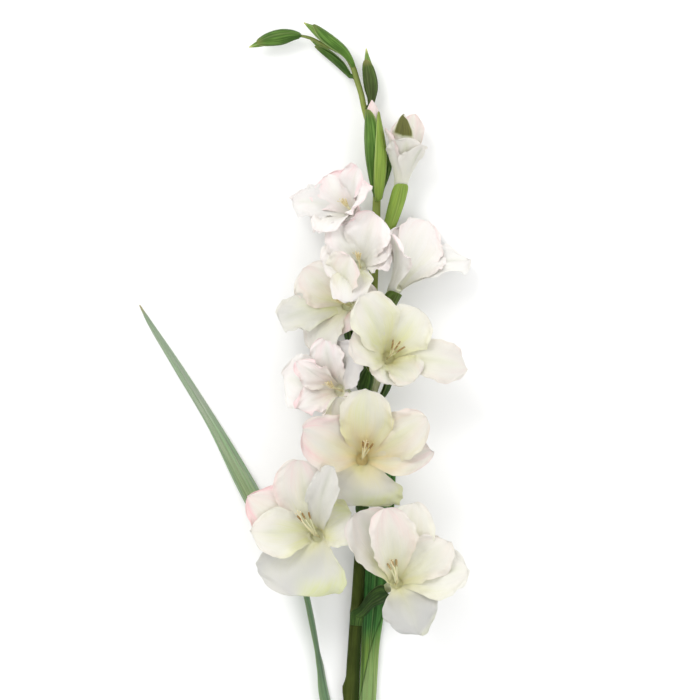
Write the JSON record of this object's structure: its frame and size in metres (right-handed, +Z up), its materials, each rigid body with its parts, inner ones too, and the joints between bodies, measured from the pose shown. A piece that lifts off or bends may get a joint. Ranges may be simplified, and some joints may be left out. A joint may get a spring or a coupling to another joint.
{
  "type": "cut gladiolus stem",
  "caption": "Cut gladiolus spike with ruffled ivory-white open florets, green buds toward an arching tip and long sword-shaped leaves, lying flat on a surface.",
  "frame": {"origin": "centre of the bounding box in X and Y, on the surface it lies on (Z = 0)", "axes": "+Y runs along the spike from the cut end to the bud tip, +Z is up, away from the surface, and the florets face up, +X is to the right of the spike seen from above"},
  "size_m": [0.283, 0.7992, 0.1027],
  "materials": {
    "stem": "satin, olive green with lighter lengthwise streaks",
    "leaf": "satin, mid to deep green with parallel veins",
    "bract": "satin, green with pale edges and fine lengthwise ribs",
    "bud": "satin, green",
    "tepal": "soft matt, ivory white with pale green throat and faint pink edges, slightly translucent",
    "stamen": "matt, cream filaments with ochre brown anthers"
  },
  "bodies": {
    "root": {"stem": "stem", "leaf_left": "leaf", "leaf_right": "leaf", "flower_9_perianth": "tepal", "flower_8_perianth": "tepal", "flower_7_perianth": "tepal", "flower_6_perianth": "tepal", "flower_5_perianth": "tepal", "flower_4_perianth": "tepal", "flower_3_perianth": "tepal", "flower_2_perianth": "tepal", "flower_1_perianth": "tepal", "flower_10_perianth": "tepal", "flower_9_stamens": "stamen", "flower_8_stamens": "stamen", "flower_7_stamens": "stamen", "flower_6_stamens": "stamen", "flower_5_stamens": "stamen", "flower_4_stamens": "stamen", "flower_3_stamens": "stamen", "flower_2_stamens": "stamen", "flower_1_stamens": "stamen", "bud_1_petals": "tepal", "bud_2_core": "bud", "bud_3_core": "bud", "bud_4_core": "bud", "bud_5_core": "bud", "side_bract": "bract", "flower_9_outer_bract": "bract", "flower_9_inner_bract": "bract", "flower_8_outer_bract": "bract", "flower_8_inner_bract": "bract", "flower_7_outer_bract": "bract", "flower_7_inner_bract": "bract", "flower_6_outer_bract": "bract", "flower_6_inner_bract": "bract", "flower_5_outer_bract": "bract", "flower_5_inner_bract": "bract", "flower_4_outer_bract": "bract", "flower_4_inner_bract": "bract", "flower_3_outer_bract": "bract", "flower_3_inner_bract": "bract", "flower_2_outer_bract": "bract", "flower_2_inner_bract": "bract", "flower_1_outer_bract": "bract", "flower_1_inner_bract": "bract", "flower_10_outer_bract": "bract", "flower_10_inner_bract": "bract", "bud_1_outer_bract": "bract", "bud_1_inner_bract": "bract", "bud_2_bract": "bract", "bud_3_bract": "bract", "bud_4_bract": "bract", "bud_5_bract": "bract"}
  },
  "joints": []
}
